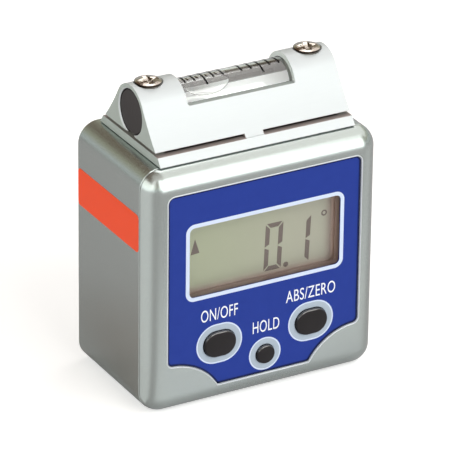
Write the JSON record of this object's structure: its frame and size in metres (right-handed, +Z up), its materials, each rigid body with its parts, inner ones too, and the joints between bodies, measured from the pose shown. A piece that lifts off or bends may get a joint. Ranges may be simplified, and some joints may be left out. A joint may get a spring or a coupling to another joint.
{
  "type": "digital spirit level",
  "caption": "Square pocket angle gauge with a digital display, push buttons, a magnetic base and a tubular spirit vial in a slotted bracket on top.",
  "frame": {"origin": "middle of the flat magnetic base, midway between the case's front and rear", "axes": "+X to the right seen from the front, +Y from the front to the rear, +Z up, from the base to the vial"},
  "size_m": [0.0572, 0.0334, 0.0723],
  "materials": {
    "case_silver": "die-cast alloy with a satin silver coat",
    "cover_silver": "moulded plate with a satin silver coat",
    "screw_steel": "zinc plated steel",
    "label_blue": "blue printed plastic sheet, satin",
    "black_plastic": "moulded black plastic",
    "clear_pane": "clear acrylic",
    "display_glass": "liquid crystal glass, green-grey",
    "white_foam": "white foam",
    "pink_rubber": "layered elastomer strip",
    "green_board": "glass-fibre laminate with green lacquer",
    "spring_metal": "nickel plated spring bronze",
    "cell_steel": "stainless steel can",
    "door_plastic": "moulded dark plastic",
    "magnet_nickel": "nickel plated magnet",
    "button_black": "black plastic with a soft sheen",
    "plunger_plastic": "moulded plastic",
    "bracket_aluminium": "extruded aluminium, clear matt anodised",
    "screw_nickel": "nickel plated brass",
    "plug_black": "black plastic",
    "vial_acrylic": "clear acrylic",
    "seal_plastic": "white plastic",
    "vial_liquid": "colourless spirit",
    "bubble_air": "air"
  },
  "bodies": {
    "case": {"front_housing": "case_silver", "rear_cover": "cover_silver", "cover_screws": "screw_steel", "front_label": "label_blue", "lcd_bezel": "black_plastic", "display_window": "clear_pane", "lcd_panel": "display_glass", "lcd_foam_pad": "white_foam", "lcd_connector_strip": "pink_rubber", "main_board": "green_board", "board_screws": "screw_steel", "push_switches": "black_plastic", "tilt_sensor": "black_plastic", "processor_chip": "black_plastic", "battery_tray": "black_plastic", "negative_contact": "spring_metal", "positive_contact": "spring_metal", "coin_cell": "cell_steel", "base_magnets": "magnet_nickel", "vial_bracket": "bracket_aluminium", "adjusting_screws": "screw_nickel", "left_end_plug": "plug_black", "right_end_plug": "plug_black", "vial_tube": "vial_acrylic", "vial_seal": "seal_plastic", "vial_fluid": "vial_liquid"},
    "on_off_key": {"on_off_button": "button_black", "on_off_plunger": "plunger_plastic"},
    "hold_key": {"hold_button": "button_black", "hold_plunger": "plunger_plastic"},
    "abs_zero_key": {"abs_zero_button": "button_black", "abs_zero_plunger": "plunger_plastic"},
    "battery_cap": {"battery_door": "door_plastic"},
    "bubble": {"vial_bubble": "bubble_air"}
  },
  "joints": [
    {"name": "on_off_press", "type": "slide", "parent": "case", "child": "on_off_key", "axis": [0, 1, 0], "range_m": [0, 0.0005], "stiffness_N_per_m": 1000},
    {"name": "hold_press", "type": "slide", "parent": "case", "child": "hold_key", "axis": [0, 1, 0], "range_m": [0, 0.0005], "stiffness_N_per_m": 1000},
    {"name": "abs_zero_press", "type": "slide", "parent": "case", "child": "abs_zero_key", "axis": [0, 1, 0], "range_m": [0, 0.0005], "stiffness_N_per_m": 1000},
    {"name": "battery_cap_turn", "type": "hinge", "parent": "case", "child": "battery_cap", "pos_m": [0, 0.015, 0.029], "axis": [0, 1, 0], "range_deg": [0, 45]},
    {"name": "bubble_run", "type": "slide", "parent": "case", "child": "bubble", "axis": [1, 0, 0], "range_m": [-0.0032, 0.0156], "stiffness_N_per_m": 0.05}
  ]
}
